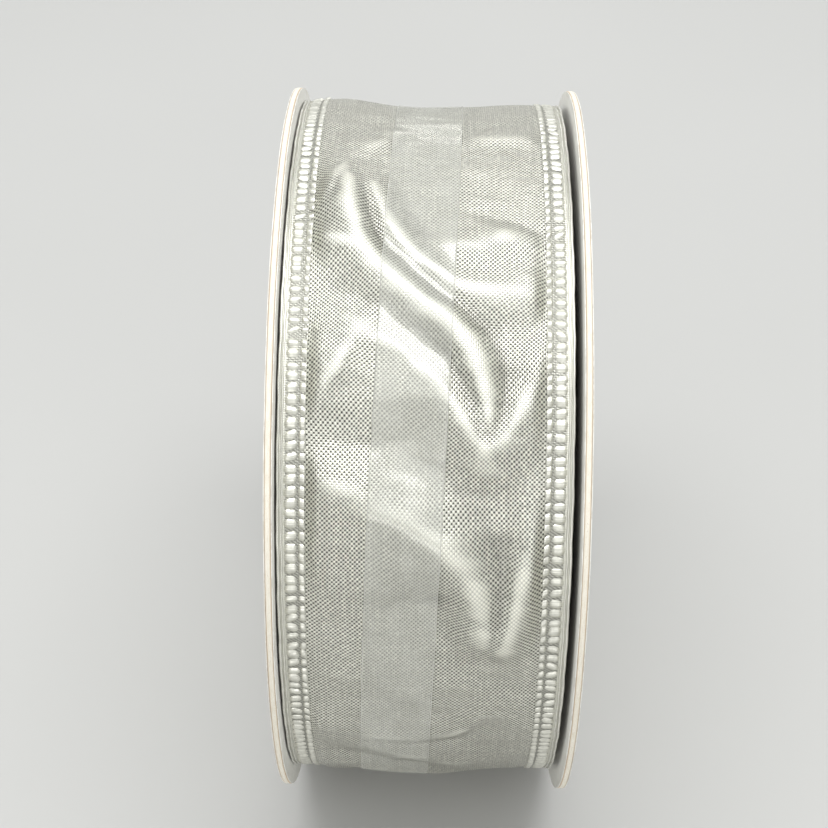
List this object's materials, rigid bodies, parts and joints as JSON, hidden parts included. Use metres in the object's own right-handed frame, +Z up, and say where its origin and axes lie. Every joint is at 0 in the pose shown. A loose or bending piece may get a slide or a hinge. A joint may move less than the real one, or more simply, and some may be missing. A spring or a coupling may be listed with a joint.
{
  "type": "ribbon spool",
  "caption": "Wide sheer metallic wired-edge gift ribbon wound on a flanged paperboard spool, held by a clear band.",
  "frame": {"origin": "on the ground, midway between the flanges' outer faces, straight under the spool's axis", "axes": "+X along the spool's axis towards the flange with the wider gap beside the ribbon, +Z up, +Y away from the viewer"},
  "size_m": [0.0414, 0.106, 0.106],
  "materials": {
    "white_liner": "coated, satin",
    "chipboard": "raw cut edge",
    "core_board": "raw",
    "core_paper": "matte",
    "hot_glue": "smooth",
    "silver_weave": "metallic plain weave",
    "sheer_weave": "sheer metallic plain weave",
    "silver_rib": "bright metallic ribs",
    "edge_wire": "fine wire",
    "clear_film": "frosted clear"
  },
  "bodies": {
    "spool": {"left_flange_outer_liner": "white_liner", "left_flange_board": "chipboard", "left_flange_inner_liner": "white_liner", "left_glue_ring": "hot_glue", "right_flange_outer_liner": "white_liner", "right_flange_board": "chipboard", "right_flange_inner_liner": "white_liner", "right_glue_ring": "hot_glue", "core_tube": "core_board", "core_wrap": "core_paper", "start_tape": "clear_film"},
    "roll": {"left_edge_wire": "edge_wire", "left_outer_binding": "silver_rib", "left_inner_binding": "silver_rib", "right_edge_wire": "edge_wire", "right_outer_binding": "silver_rib", "right_inner_binding": "silver_rib", "ribbon_inner_turns": "silver_weave", "ribbon_outer_turn": "sheer_weave", "holding_tape": "clear_film"}
  },
  "joints": [
    {"name": "roll_side_play", "type": "slide", "parent": "spool", "child": "roll", "axis": [1, 0, 0], "range_m": [0, 0.0007]}
  ]
}
